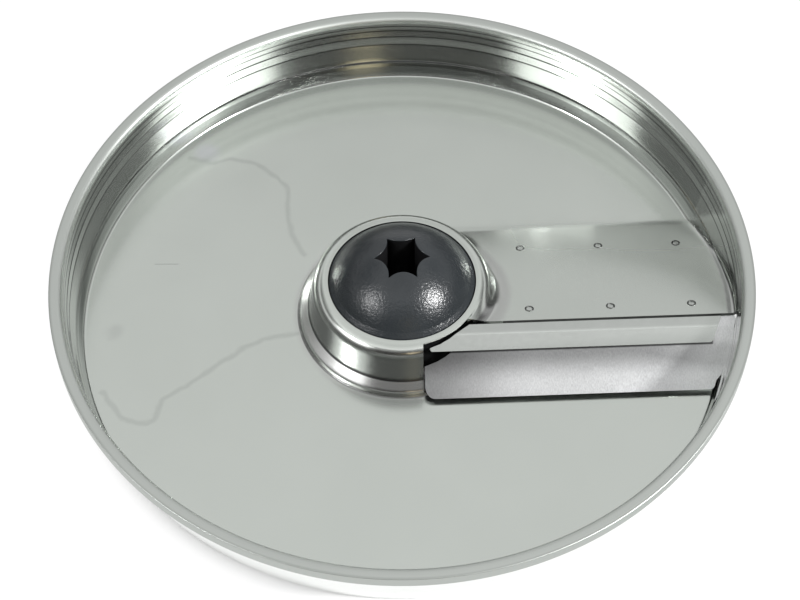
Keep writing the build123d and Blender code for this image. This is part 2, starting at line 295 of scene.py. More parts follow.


# Finishes of the dish, in the order of its material slots; the last two are a painted shade and a painted
# highlight for cut edges
SATIN, OUTSIDE, SHADED_CUT, BRIGHT_CUT = range(4)


def slot_edge(c):
    """Finish of the slot's cut edges: a painted shade under the ramp, a painted highlight round the collar.
    """
    if abs(c.y - CREST_Y) < 0.01 and c.xy.length > 23:
        return SHADED_CUT
    return BRIGHT_CUT if abs(c.xy.length - SLOT_RING_RADIUS) < 0.02 else SATIN


def dish_mesh():
    """The pressed sheet on rings and spokes, with the ramp raised and the slot cut out."""
    flat_rings = [22.9, 23.6, 24.4, 25.4, 27, 30, 34, 39, 45, 51, 56, 60, 63, 65, 66]
    section = with_radii(dish_section(radians(13)), flat_rings + [SLOT_RING_RADIUS, SLOT_END_RADIUS])
    inner, outer = section[section[:, 0] < 22.7], section[section[:, 0] > 66.2]
    middle = section[(section[:, 0] >= 22.7) & (section[:, 0] <= 66.2)]
    spokes = 264
    bm = bmesh.new()

    def ring(r, z):
        angles = [2 * pi * i / spokes for i in range(spokes)]
        return [bm.verts.new((r * cos(a) * MM, r * sin(a) * MM, (SHEET + z) * MM)) for a in angles]

    section = np.vstack((divided(inner, 0.5), middle, divided(outer, 1.2)))
    skin(bm, [ring(r, z) for r, z in section])

    # Lines of the slot and of the fold
    def near_slot(c):
        return c.x > 0 and -26 < c.y < -6

    cut(bm, "y", CREST_Y, near_slot)
    cut(bm, "y", SLOT_FRONT_Y, near_slot)
    cut(bm, "x", SLOT_LEFT_X, lambda c: 0 < c.x < 8 and SLOT_FRONT_Y < c.y < CREST_Y)
    for step in (-0.94, -0.6, -0.3, 0, 0.3, 0.6, 0.94):
        cut(bm, "y", FOLD_Y + step, lambda c: c.x > 0 and 16 < c.y < 27)
    centres = {f: f.calc_center_median() / MM for f in bm.faces}
    inside = [f for f, c in centres.items()
              if SLOT_FRONT_Y < c.y < CREST_Y and c.x > SLOT_LEFT_X
              and SLOT_RING_RADIUS < c.xy.length < SLOT_END_RADIUS]
    bmesh.ops.delete(bm, geom=inside, context="FACES")
    seam = [e for e in bm.edges
            if all(abs(v.co.y / MM - CREST_Y) < 1e-3 and v.co.x > 0 for v in e.verts)
            and SLOT_END_RADIUS - 0.01 < min(v.co.xy.length for v in e.verts) / MM
            and max(v.co.xy.length for v in e.verts) / MM < SEAM_END_RADIUS]
    bmesh.ops.split_edges(bm, edges=seam)
    raise_ramp(bm)
    thicken(bm, lambda v: SHEET, lambda c: OUTSIDE if c.xy.length > 66.8 else SATIN, slot_edge)
    return bm


# Knife and cover plate

def on_circle(radius, y):
    return (sqrt(radius**2 - y**2), y)


def arc(radius, y_from, y_to, count):
    """Points of a circle about the axis, on the knife's side."""
    return [on_circle(radius, y_from + (y_to - y_from) * i / count) for i in range(count + 1)]


def knife_line():
    """Upper face of the knife from the flange's back to the cutting edge, as y and height above z = 0."""
    def under_ramp(y):
        return SHEET + SLOPE * (FOLD_Y - y) - SHEET / SLOPE_COS

    crest = (CREST_Y, under_ramp(CREST_Y))
    knee = (KNEE_Y, crest[1] - (CREST_Y - KNEE_Y) * tan(radians(KNEE_FALL)))
    edge = (EDGE_Y, SHEET + EDGE_HEIGHT)
    flange = (FLANGE_BACK_Y, under_ramp(FLANGE_BACK_Y))
    return rounded_line([flange, crest, knee, edge], [1.4, 1.5], radians(4))


def bent_sheet(outline, line, thickness, cuts=(), edge_finish=None):
    """Sheet with the given outline from above that follows a section line across y."""
    bm = bmesh.new()
    bm.faces.new([bm.verts.new((x * MM, y * MM, 0)) for x, y in outline])
    bm.normal_update()
    if bm.faces[:][0].normal.z < 0:
        bmesh.ops.reverse_faces(bm, faces=bm.faces[:])
    for y in list(line[1:-1, 0]) + list(cuts):
        cut(bm, "y", y, lambda c: True)
    order = np.argsort(line[:, 0])
    for v in bm.verts:
        v.co.z = np.interp(v.co.y / MM, line[order, 0], line[order, 1]) * MM
    thicken(bm, thickness, edge_finish=edge_finish)
    return bm


def knife_mesh():
    """Knife with a ground edge, an end that steps over the rim's foot, and a flange under the ramp."""
    line = knife_line()
    back, middle = CREST_Y + 0.5, 45
    beside = (KNIFE_LEFT_X, -sqrt(KNIFE_COLLAR_RADIUS**2 - KNIFE_LEFT_X**2))
    left = [(middle, EDGE_Y), (KNIFE_LEFT_X, EDGE_Y), beside]
    outline = rounded_line(left, [2.0], radians(10)).tolist()
    outline += arc(KNIFE_COLLAR_RADIUS, beside[1], back, 10)[1:]
    outline += [(FLANGE_LEFT_X, back), (FLANGE_LEFT_X, FLANGE_BACK_Y)]
    outline += [(FLANGE_RIGHT_X, FLANGE_BACK_Y), (FLANGE_RIGHT_X, back)]
    right = [(FLANGE_RIGHT_X + 1.1, back)] + arc(KNIFE_END_RADIUS, back, -19.5, 8)
    right += [on_circle(KNIFE_FOOT_RADIUS, -21.7), on_circle(KNIFE_FOOT_RADIUS, EDGE_Y), (middle, EDGE_Y)]
    outline += rounded_line(right, [1.0] + [0] * 7 + [1.0, 1.0, 1.0], radians(10)).tolist()[:-1]
    fall = (line[-1, 1] - line[-2, 1]) / (line[-1, 0] - line[-2, 0])
    ground_y = EDGE_Y + BEVEL_WIDTH * cos(atan(fall))

    def thickness(v):
        return EDGE_LAND if abs(v.co.y / MM - EDGE_Y) < 0.02 else KNIFE_THICKNESS

    return bent_sheet(outline, line, thickness, [ground_y])


def plate_mesh():
    """Cover plate, which lies on the knife's two slopes and keeps clear of the ring beside the slot."""
    knife = knife_line()
    knife = knife[knife[:, 0] < CREST_Y + 0.01]
    tangent = np.gradient(knife, axis=0)
    tangent /= np.linalg.norm(tangent, axis=1)[:, None]
    line = knife + np.stack((tangent[:, 1], -tangent[:, 0]), -1) * (PLATE_THICKNESS + 0.06)
    back, front, ring, middle = CREST_Y - 0.5, -15.76, 15.95, 40
    tip = on_circle(ring, front + 0.65)
    head = (on_circle(ring, back)[0] + 1.9, back)
    right = on_circle(KNIFE_END_RADIUS, back)[0] - 2.9
    outline = rounded_line([(middle, front), (tip[0], front), tip], [0.5], radians(10)).tolist()
    outline += [on_circle(ring + gap, y) for gap, y in ((0.25, -14.5), (0.5, -13.6), (0.7, KNEE_Y))]
    outline += [head, (right, back)]
    end = [(right, back), (right - 2.15, front), (middle, front)]
    outline += rounded_line(end, [0.8], radians(10)).tolist()[1:-1]

    # The plate's front edge takes the second finish, a painted shade.
    def edge_finish(c):
        return 1 if c.y < front + 0.02 else 0

    return bent_sheet(outline, line, lambda v: PLATE_THICKNESS, edge_finish=edge_finish)


# Moulded hub

def star_radius(angle):
    """Radius of the socket's outline: arcs that bulge inwards between blunt tips."""
    half = pi / 6
    sag = STAR_TIP * cos(half) - STAR_VALLEY
    bow = (sag**2 + (STAR_TIP * sin(half))**2) / (2 * sag)
    centre = STAR_VALLEY + bow
    off = half - abs((angle + half) % (2 * half) - half)
    reach = centre * cos(off) - sqrt(max(bow**2 - (centre * sin(off))**2, 0))
    return min(reach, STAR_TIP - STAR_BLUNT)


def dome_height(r):
    return DOME_CENTRE_Z + sqrt(DOME_RADIUS**2 - r * r)


def inner_dome_height(r):
    return DOME_CENTRE_Z + sqrt((DOME_RADIUS - HUB_WALL)**2 - r * r)


def hub_mesh():
    """Closed wall of the hub: socket, domed cap with its band, shoulder, skirt, hollow and sleeve."""
    spokes = 288
    angles = [2 * pi * i / spokes for i in range(spokes)]
    star = [star_radius(a) for a in angles]
    hollow, mouth, round_from = HUB_RADIUS - HUB_WALL, 0.25, 8.2
    shoulder = RING_TOP - SHEET
    bm = bmesh.new()
    # Faces marked shade take the hub's second finish, a near-black painted shade
    rings, shaded = [], []

    def ring(radius_of, height_of, shade=False):
        row = []
        for a, s in zip(angles, star):
            r = radius_of(s)
            row.append(bm.verts.new((r * cos(a) * MM, r * sin(a) * MM, height_of(r) * MM)))
        rings.append(row)
        shaded.append(shade)

    # Socket wall from its foot up to its rounded mouth
    for z in (HUB_FOOT + 0.2, 5.0, 10.0, 15.0, 18.0, 18.8):
        ring(lambda s: s, lambda r: z, True)
    for t in range(6):
        a = pi / 2 * t / 5
        ring(lambda s: s + mouth * (1 - cos(a)), lambda r: dome_height(r) - mouth * (1 - sin(a)))
    for t in (0.15, 0.35, 0.6, 0.8, 1.0):
        ring(lambda s: s + mouth + (round_from - s - mouth) * t, dome_height)
    for r_dome in np.linspace(round_from + 0.5, DOME_EDGE_RADIUS - 0.12, 18):
        ring(lambda s: r_dome, dome_height)
    edge = [(DOME_EDGE_RADIUS - 0.12, dome_height(DOME_EDGE_RADIUS - 0.12)), (DOME_EDGE_RADIUS, DOME_EDGE_Z),
            (HUB_RADIUS, RING_TOP), (HUB_RADIUS, shoulder), (SHOULDER_RADIUS, shoulder),
            (SHOULDER_RADIUS, shoulder - SHOULDER_THICKNESS), (HUB_RADIUS, shoulder - SHOULDER_THICKNESS),
            (HUB_RADIUS, HUB_FOOT), (hollow, HUB_FOOT), (hollow, inner_dome_height(hollow))]
    for r, z in rounded_line(edge, [0.15, 0.12, 0.05, 0.15, 0.15, 0.1, 0.3, 0.3], radians(20)).tolist()[1:]:
        ring(lambda s: r, lambda _: z, z < RING_TOP - 0.3)
    for r in np.linspace(hollow, SLEEVE_RADIUS, 8)[1:-1]:
        ring(lambda s: r, inner_dome_height, True)
    foot = [(SLEEVE_RADIUS, inner_dome_height(SLEEVE_RADIUS)), (SLEEVE_RADIUS, HUB_FOOT), (7.0, HUB_FOOT)]
    for r, z in rounded_line(foot, [0.3], radians(20)).tolist():
        ring(lambda s: r, lambda _: z, True)
    ring(lambda s: s + mouth, lambda _: HUB_FOOT, True)
    for row, shade in zip(skin(bm, rings + rings[:1]), shaded):
        for face in row:
            face.material_index = int(shade)
    bm.normal_update()
    return bm


# Geometry Nodes for what repeats

def link_chain(tree, *steps):
    """Links output to input in order: (node, output name, node, input name)."""
    for a, output, b, into in steps:
        tree.links.new(a.outputs[output], b.inputs[into])


def node_tree(name, inputs):
    """Geometry tree with named inputs and a mesh output."""
    tree = bpy.data.node_groups.new(name, "GeometryNodeTree")
    for label, kind in inputs:
        tree.interface.new_socket(label, in_out="INPUT", socket_type=kind)
    tree.interface.new_socket("Geometry", in_out="OUTPUT", socket_type="NodeSocketGeometry")
    return tree, tree.nodes.new("NodeGroupInput"), tree.nodes.new("NodeGroupOutput")


def grown(name, tree, values, node=None):
    """A piece grown by a geometry tree with the given input values, as a plain mesh."""
    piece = piece_of(name, bpy.data.meshes.new(name))
    modifier = piece.modifiers.new(name, "NODES")
    modifier.node_group = tree
    for item in tree.interface.items_tree:
        if item.in_out == "INPUT" and item.name in values:
            modifier[item.identifier] = values[item.name]
    settle(piece)
    piece.data.polygons.foreach_set("use_smooth", [True] * len(piece.data.polygons))
    enrol(piece, node)


def weld_tree(name, centre):
    """Rows of spot-weld marks on the ramp: dark rings, or the raised centres inside them."""
    tree, given, result = node_tree(name, [
        ("Columns", "NodeSocketInt"), ("Rows", "NodeSocketInt"), ("Length", "NodeSocketFloat"),
        ("Width", "NodeSocketFloat"), ("Place", "NodeSocketVector"), ("Tilt", "NodeSocketVector"),
        ("Radius", "NodeSocketFloat"), ("Thickness", "NodeSocketFloat"), ("Finish", "NodeSocketMaterial")])
    grid = tree.nodes.new("GeometryNodeMeshGrid")
    repeat = tree.nodes.new("GeometryNodeInstanceOnPoints")
    place = tree.nodes.new("GeometryNodeTransform")
    realize = tree.nodes.new("GeometryNodeRealizeInstances")
    finish = tree.nodes.new("GeometryNodeSetMaterial")
    if centre:
        mark = tree.nodes.new("GeometryNodeMeshUVSphere")
        mark.inputs["Segments"].default_value = 24
        mark.inputs["Rings"].default_value = 12
        shape = tree.nodes.new("GeometryNodeTransform")
        flatten = tree.nodes.new("ShaderNodeCombineXYZ")
        flatten.inputs["X"].default_value = 1.0
        flatten.inputs["Y"].default_value = 1.0
        link_chain(tree, (given, "Radius", mark, "Radius"), (given, "Thickness", flatten, "Z"),
                   (flatten, "Vector", shape, "Scale"), (mark, "Mesh", shape, "Geometry"),
                   (shape, "Geometry", repeat, "Instance"))
    else:
        line = tree.nodes.new("GeometryNodeCurvePrimitiveCircle")
        tube = tree.nodes.new("GeometryNodeCurvePrimitiveCircle")
        line.inputs["Resolution"].default_value = 36
        tube.inputs["Resolution"].default_value = 10
        sweep = tree.nodes.new("GeometryNodeCurveToMesh")
        link_chain(tree, (given, "Radius", line, "Radius"), (given, "Thickness", tube, "Radius"),
                   (line, "Curve", sweep, "Curve"), (tube, "Curve", sweep, "Profile Curve"),
                   (sweep, "Mesh", repeat, "Instance"))
    link_chain(
        tree, (given, "Length", grid, "Size X"), (given, "Width", grid, "Size Y"),
        (given, "Columns", grid, "Vertices X"), (given, "Rows", grid, "Vertices Y"),
        (grid, "Mesh", repeat, "Points"), (repeat, "Instances", place, "Geometry"),
        (given, "Place", place, "Translation"), (given, "Tilt", place, "Rotation"),
        (place, "Geometry", realize, "Geometry"), (realize, "Geometry", finish, "Geometry"),
        (given, "Finish", finish, "Material"), (finish, "Geometry", result, "Geometry"))
    return tree


def rib_tree():
    """Ribs that stand between the hub's sleeve and its skirt."""
    tree, given, result = node_tree("hub_rib_ring", [
        ("Count", "NodeSocketInt"), ("Radius", "NodeSocketFloat"), ("Size", "NodeSocketVector"),
        ("Height", "NodeSocketFloat"), ("Finish", "NodeSocketMaterial")])
    circle = tree.nodes.new("GeometryNodeMeshCircle")
    rib = tree.nodes.new("GeometryNodeMeshCube")
    for axis in "XYZ":
        rib.inputs[f"Vertices {axis}"].default_value = 3
    repeat = tree.nodes.new("GeometryNodeInstanceOnPoints")
    index = tree.nodes.new("GeometryNodeInputIndex")
    share = tree.nodes.new("ShaderNodeMath")
    share.operation = "DIVIDE"
    turn = tree.nodes.new("ShaderNodeMath")
    turn.operation = "MULTIPLY"
    turn.inputs[1].default_value = 2 * pi
    about = tree.nodes.new("ShaderNodeCombineXYZ")
    rise = tree.nodes.new("ShaderNodeCombineXYZ")
    place = tree.nodes.new("GeometryNodeTransform")
    realize = tree.nodes.new("GeometryNodeRealizeInstances")
    finish = tree.nodes.new("GeometryNodeSetMaterial")
    link_chain(
        tree, (given, "Count", circle, "Vertices"), (given, "Radius", circle, "Radius"),
        (given, "Size", rib, "Size"), (index, "Index", share, 0), (given, "Count", share, 1),
        (share, "Value", turn, 0), (turn, "Value", about, "Z"), (about, "Vector", repeat, "Rotation"),
        (circle, "Mesh", repeat, "Points"), (rib, "Mesh", repeat, "Instance"),
        (given, "Height", rise, "Z"), (rise, "Vector", place, "Translation"),
        (repeat, "Instances", place, "Geometry"), (place, "Geometry", realize, "Geometry"),
        (realize, "Geometry", finish, "Geometry"), (given, "Finish", finish, "Material"),
        (finish, "Geometry", result, "Geometry"))
    return tree


# Shader groups

def node(tree, kind, **values):
    n = tree.nodes.new(kind)
    for key, value in values.items():
        if key in n.inputs:
            n.inputs[key].default_value = value
        else:
            setattr(n, key, value)
    return n


def calc(tree, operation, a, b=None):
    """Math node on sockets or numbers."""
    n = node(tree, "ShaderNodeMath", operation=operation)
    for i, value in enumerate((a, b)):
        if value is None:
            continue
        if isinstance(value, (int, float)):
            n.inputs[i].default_value = value
        else:
            tree.links.new(value, n.inputs[i])
    return n.outputs[0]


def spread(tree, value, low, high, to_low=0.0, to_high=1.0, smooth=True):
    """Map Range node on a socket."""
    n = node(tree, "ShaderNodeMapRange")
    n.interpolation_type = "SMOOTHSTEP" if smooth else "LINEAR"
    for label, number in zip(("From Min", "From Max", "To Min", "To Max"), (low, high, to_low, to_high)):
        n.inputs[label].default_value = number
    tree.links.new(value, n.inputs["Value"])
    return n.outputs["Result"]


def vector(tree, operation, *operands):
    """Vector Math node on sockets or fixed vectors, or on a socket with its scale."""
    n = node(tree, "ShaderNodeVectorMath", operation=operation)
    for i, value in enumerate(operands):
        socket = n.inputs[3 if operation == "SCALE" and i else i]
        if isinstance(value, (tuple, Vector)):
            socket.default_value = value
        else:
            tree.links.new(value, socket)
    return n.outputs["Value" if operation in ("LENGTH", "DISTANCE", "DOT_PRODUCT") else "Vector"]


def product(tree, first, *others):
    """Product of sockets or numbers."""
    for other in others:
        first = calc(tree, "MULTIPLY", first, other)
    return first


def band(tree, value, rise, fall):
    """Mask that comes in between the two values of rise and goes out between those of fall."""
    return product(tree, spread(tree, value, *rise), spread(tree, value, *fall))


def line_at(tree, value, centre, outer, inner, strength=1.0):
    """Mask of a thin line where a value is near the given centre."""
    gap = calc(tree, "ABSOLUTE", calc(tree, "SUBTRACT", value, centre))
    return spread(tree, gap, outer, inner, 0.0, strength)


def blend_colours(tree, factor, a, b):
    n = node(tree, "ShaderNodeMix", data_type="RGBA")
    for i, value in ((0, factor), (6, a), (7, b)):
        if isinstance(value, (int, float)):
            n.inputs[i].default_value = value
        elif isinstance(value, tuple):
            n.inputs[i].default_value = (*value, 1)
        else:
            tree.links.new(value, n.inputs[i])
    return n.outputs[2]


def blend_values(tree, factor, a, b):
    n = node(tree, "ShaderNodeMix", data_type="FLOAT")
    for socket, value in zip((n.inputs[0], n.inputs[2], n.inputs[3]), (factor, a, b)):
        tree.links.new(value, socket)
    return n.outputs[0]


def shader_group(name, inputs, outputs):
    tree = bpy.data.node_groups.new(name, "ShaderNodeTree")
    for label, kind, value in inputs:
        tree.interface.new_socket(label, in_out="INPUT", socket_type=kind).default_value = value
    for label, kind in outputs:
        tree.interface.new_socket(label, in_out="OUTPUT", socket_type=kind)
    return tree, tree.nodes.new("NodeGroupInput"), tree.nodes.new("NodeGroupOutput")


def cloudy_tone_group():
    """Slow changes of tone over a surface that has been handled and wiped."""
    tree, given, result = shader_group(
        "cloudy_tone",
        [("Vector", "NodeSocketVector", (0, 0, 0)), ("Scale", "NodeSocketFloat", 40.0),
         ("Dark", "NodeSocketColor", (0.5, 0.5, 0.5, 1)), ("Light", "NodeSocketColor", (0.6, 0.6, 0.6, 1))],
        [("Color", "NodeSocketColor"), ("Mask", "NodeSocketFloat")])
    noise = node(tree, "ShaderNodeTexNoise", Detail=4.0, Roughness=0.55)
    tree.links.new(given.outputs["Vector"], noise.inputs["Vector"])
    tree.links.new(given.outputs["Scale"], noise.inputs["Scale"])
    mask = spread(tree, noise.outputs["Fac"], 0.25, 0.75)
    colour = blend_colours(tree, mask, given.outputs["Dark"], given.outputs["Light"])
    tree.links.new(colour, result.inputs["Color"])
    tree.links.new(mask, result.inputs["Mask"])
    return tree


def grain_group():
    """Fine grain, drawn out along the directions with a small stretch value."""
    tree, given, result = shader_group(
        "drawn_grain",
        [("Vector", "NodeSocketVector", (0, 0, 0)), ("Stretch", "NodeSocketVector", (1, 1, 1)),
         ("Detail", "NodeSocketFloat", 3.0)],
        [("Mask", "NodeSocketFloat")])
    stretched = vector(tree, "MULTIPLY", given.outputs["Vector"], given.outputs["Stretch"])
    noise = node(tree, "ShaderNodeTexNoise", Scale=1.0, Roughness=0.6)
    tree.links.new(stretched, noise.inputs["Vector"])
    tree.links.new(given.outputs["Detail"], noise.inputs["Detail"])
    tree.links.new(noise.outputs["Fac"], result.inputs["Mask"])
    return tree


def segment_group():
    """Distance of a point from a straight segment, in the units of its inputs."""
    tree, given, result = shader_group(
        "distance_to_segment",
        [("Point", "NodeSocketVector", (0, 0, 0)), ("Start", "NodeSocketVector", (0, 0, 0)),
         ("End", "NodeSocketVector", (0, 0, 0))],
        [("Distance", "NodeSocketFloat")])
    from_start = vector(tree, "SUBTRACT", given.outputs["Point"], given.outputs["Start"])
    along = vector(tree, "SUBTRACT", given.outputs["End"], given.outputs["Start"])
    share = calc(tree, "DIVIDE", vector(tree, "DOT_PRODUCT", from_start, along),
                 vector(tree, "DOT_PRODUCT", along, along))
    nearest = vector(tree, "SCALE", along, spread(tree, share, 0, 1, smooth=False))
    gap = vector(tree, "DISTANCE", from_start, nearest)
    tree.links.new(gap, result.inputs["Distance"])
    return tree


def placed(tree, source, **values):
    """A shader group placed in a material with its own values."""
    n = tree.nodes.new("ShaderNodeGroup")
    n.node_tree = source
    for key, value in values.items():
        n.inputs[key].default_value = value
    return n


# Materials

def material(name):
    m = bpy.data.materials.new(name)
    m.use_nodes = True
    tree = m.node_tree
    tree.nodes.clear()
    shader = tree.nodes.new("ShaderNodeBsdfPrincipled")
    out = tree.nodes.new("ShaderNodeOutputMaterial")
    tree.links.new(shader.outputs["BSDF"], out.inputs["Surface"])
    return m, tree, shader, tree.nodes.new("ShaderNodeTexCoord").outputs["Object"]


def toned(tree, place, dark, light, scale):
    tone = placed(tree, cloudy_tone, Scale=scale, Dark=(*dark, 1), Light=(*light, 1))
    tree.links.new(place, tone.inputs["Vector"])
    return tone


def grained(tree, place, stretch, detail=3.0):
    grain = placed(tree, drawn_grain, Stretch=stretch, Detail=detail)
    tree.links.new(place, grain.inputs["Vector"])
    return grain.outputs["Mask"]


def relief(tree, shader, height, strength, distance):
    bump = node(tree, "ShaderNodeBump", Strength=strength, Distance=distance)
    tree.links.new(height, bump.inputs["Height"])
    tree.links.new(bump.outputs["Normal"], shader.inputs["Normal"])


def steel(name, dark, light, rough, stretch, bump, cloud=40.0):
    """Stainless steel: cloudy tone, and a grain in roughness and height."""
    m, tree, shader, place = material(name)
    grain = grained(tree, place, stretch)
    tone = toned(tree, place, dark, light, cloud)
    tree.links.new(tone.outputs["Color"], shader.inputs["Base Color"])
    tree.links.new(spread(tree, grain, 0.3, 0.7, *rough), shader.inputs["Roughness"])
    relief(tree, shader, grain, bump, 0.02 * MM)
    shader.inputs["Metallic"].default_value = 1.0
    return m


def millimetres(tree, place):
    """Object coordinates in millimetres, laid flat."""
    return vector(tree, "MULTIPLY", place, (1 / MM, 1 / MM, 0))


def axes(tree, point):
    """The coordinates of a point along x, y and z."""
    split = node(tree, "ShaderNodeSeparateXYZ")
    tree.links.new(point, split.inputs[0])
    return split.outputs["X"], split.outputs["Y"], split.outputs["Z"]


def line_distance(tree, point, lines):
    """Distance of a point from the nearest of several polylines."""
    nearest = None
    for line in lines:
        for a, b in zip(line, line[1:]):
            step = placed(tree, distance_to_segment, Start=(*a, 0), End=(*b, 0))
            tree.links.new(point, step.inputs["Point"])
            gap = step.outputs["Distance"]
            nearest = gap if nearest is None else calc(tree, "MINIMUM", nearest, gap)
    return nearest


def wavering(tree, point):
    """A flat point moved to and fro by a little, for lines with an uneven edge."""
    waver = node(tree, "ShaderNodeTexNoise", Scale=0.35, Detail=3.0)
    tree.links.new(point, waver.inputs["Vector"])
    shifted = vector(tree, "MULTIPLY_ADD", waver.outputs["Color"], (1.6, 1.6, 0), point)
    return vector(tree, "SUBTRACT", shifted, (0.8, 0.8, 0))


def dish_finish():
    """Pressed sheet: satin flat and ramp, matt lip, drawn collar, bright rim with thin lines of painted
    shade, marks; painted shade also darkens the collar's wall and bead, the rim's foot and the lip's outer
    edge.
    """
    m, tree, shader, place = material("dish_steel")
    point = millimetres(tree, place)
    radius = vector(tree, "LENGTH", point)
    x, y, z = axes(tree, place)

    # Zones of the pressing
    bend = product(tree, spread(tree, z, 15.15 * MM, 15.5 * MM), spread(tree, radius, 68.5, 69.0))
    lip = calc(tree, "MAXIMUM", bend, spread(tree, radius, 70.0, 70.5))
    rim = product(tree, spread(tree, radius, 66.8, 67.2), calc(tree, "SUBTRACT", 1.0, lip))
    rim_wall = product(tree, rim, spread(tree, radius, 68.4, 68.6))
    # Painted shade: the rim's lower wall, at its foot, darker than the walls above it
    painted_shade_on_rim_foot = band(tree, radius, (67.15, 67.4), (68.15, 67.95))
    collar = spread(tree, radius, 23.5, 21.5)
    drawn_wall = product(tree, collar, spread(tree, z, 11.8 * MM, 10.8 * MM))
    # Painted shade: the collar's wall darker than the sheet round it
    painted_shade_on_collar_wall = band(tree, radius, (18.0, 18.5), (20.0, 19.6))
    free_side = spread(tree, x, 11 * MM, 7 * MM)
    # Painted shade: the collar's bead darker on the side away from the ramp
    painted_shade_on_collar_bead = product(tree, band(tree, radius, (19.8, 20.2), (22.2, 21.8)), free_side)
    # Thin dark lines of painted shade in the creases: at the collar's groove and foot on its free side, and
    # at given heights round the rim walls
    collar_crease_shade = line_at(tree, radius, 19.7, 0.24, 0.08, 0.85)
    shade_at_collar_foot = line_at(tree, radius, 21.95, 0.26, 0.08, 0.6)
    painted_crease_shade = product(tree, calc(tree, "MAXIMUM", collar_crease_shade, shade_at_collar_foot), free_side)
    for level in PAINTED_SHADE_LINES:
        ring = product(tree, line_at(tree, z, level * MM, 0.24 * MM, 0.06 * MM), rim_wall, 0.78)
        painted_crease_shade = calc(tree, "MAXIMUM", painted_crease_shade, ring)

    # Tone of each zone, one over the other
    tone = toned(tree, place, (0.695, 0.735, 0.692), (0.725, 0.765, 0.722), 28.0)
    colour = tone.outputs["Color"]
    for mask, shade in (
            (calc(tree, "MAXIMUM", rim, drawn_wall), (0.61, 0.625, 0.605)),
            (painted_shade_on_collar_wall, (0.36, 0.365, 0.36)), (painted_shade_on_collar_bead, (0.52, 0.525, 0.515)),
            (painted_shade_on_rim_foot, (0.44, 0.455, 0.44)), (painted_crease_shade, (0.06, 0.06, 0.06)), (lip, (0.605, 0.635, 0.605)),
            # Painted shade along the lip's outer edge
            (spread(tree, radius, 71.5, 72.1), (0.47, 0.495, 0.47))):
        colour = blend_colours(tree, mask, colour, shade)

    # Marks that dried water left, a scratch and two spots
    uneven = wavering(tree, point)
    for gap, outer, inner, strength, shade in (
            (line_distance(tree, uneven, [UPPER_MARK, LOWER_MARK]), 1.0, 0.1, 0.4, (0.5, 0.53, 0.5)),
            (line_distance(tree, point, [SCRATCH]), 0.22, 0.05, 0.5, (0.45, 0.48, 0.45)),
            (vector(tree, "DISTANCE", uneven, (*PALE_SPOT, 0)), 4.2, 1.0, 0.5, (0.76, 0.76, 0.83)),
            (vector(tree, "DISTANCE", uneven, (*DULL_SPOT, 0)), 3.0, 0.4, 0.3, (0.5, 0.52, 0.5))):
        colour = blend_colours(tree, spread(tree, gap, outer, inner, 0.0, strength), colour, shade)
    tree.links.new(colour, shader.inputs["Base Color"])

    # Roughness of the satin, drawn and bright zones, with a matt lip and a duller ramp near its fold
    satin = spread(tree, tone.outputs["Mask"], 0, 1, 0.18, 0.21)
    bright = spread(tree, grained(tree, place, (1200, 1200, 1200)), 0.3, 0.7, 0.09, 0.13)
    drawn = spread(tree, grained(tree, place, (800, 800, 800)), 0.3, 0.7, 0.21, 0.23)
    rough = blend_values(tree, rim, blend_values(tree, collar, satin, drawn), bright)
    fold = band(tree, y, (4 * MM, 19 * MM), (22.4 * MM, 21.4 * MM))
    fold = product(tree, fold, spread(tree, x, 14 * MM, 32 * MM, 0.0, 0.6))
    matt = product(tree, calc(tree, "MAXIMUM", lip, fold), 0.22)
    tree.links.new(calc(tree, "ADD", rough, matt), shader.inputs["Roughness"])

    # Turning lines round the rim walls
    lines = product(tree, grained(tree, place, (15, 15, 900), 0.0), rim)
    relief(tree, shader, lines, 0.1, 0.06 * MM)
    shader.inputs["Metallic"].default_value = 1.0
    return m


def knife_finish():
    """Brushed knife: fine grain across its length, with painted shade beside the collar and along the cover
    plate, a painted contact shadow at the plate's edge and painted light beyond its end.
    """
    m, tree, shader, place = material("knife_steel")
    x, y, _ = axes(tree, millimetres(tree, place))
    grain = grained(tree, place, (4800, 2000, 2000))
    streak = spread(tree, grain, 0.25, 0.75, 0.86, 1.12, False)
    # Painted shade beside the collar and below the plate's edge, a painted contact shadow along that edge,
    # painted light beyond the plate's end, and darker towards the outer end
    painted_shade_beside_collar = spread(tree, x, 3.0, 27.0, 0.4, 1.0)
    painted_shade_below_plate = spread(tree, y, -16.0, -21.2, 0.4, 1.0)
    painted_shade_below_plate = calc(tree, "MAXIMUM", painted_shade_below_plate, spread(tree, x, 46.0, 68.0, 0.4, 0.8))
    outer_end = spread(tree, x, 40.0, 62.0, 1.0, 0.88)
    painted_light_beyond_plate = product(tree, spread(tree, x, 61.5, 64.5), spread(tree, y, -17.0, -14.0))
    painted_light_beyond_plate = spread(tree, painted_light_beyond_plate, 0.0, 1.0, 1.0, 1.35)
    painted_contact_shadow = product(tree, spread(tree, y, -15.85, -15.55), spread(tree, x, 63.4, 62.9))
    painted_contact_shadow = spread(tree, painted_contact_shadow, 0.0, 1.0, 1.0, 0.2)
    tone = toned(tree, place, (0.8, 0.81, 0.815), (0.88, 0.89, 0.895), 110.0)
    grain_and_painted_shade = product(tree, streak, painted_shade_beside_collar, painted_shade_below_plate, outer_end, painted_light_beyond_plate, painted_contact_shadow)
    colour = vector(tree, "SCALE", tone.outputs["Color"], grain_and_painted_shade)
    tree.links.new(colour, shader.inputs["Base Color"])
    tree.links.new(spread(tree, grain, 0.3, 0.7, 0.3, 0.38), shader.inputs["Roughness"])
    relief(tree, shader, grain, 0.2, 0.01 * MM)
    shader.inputs["Metallic"].default_value = 1.0
    return m


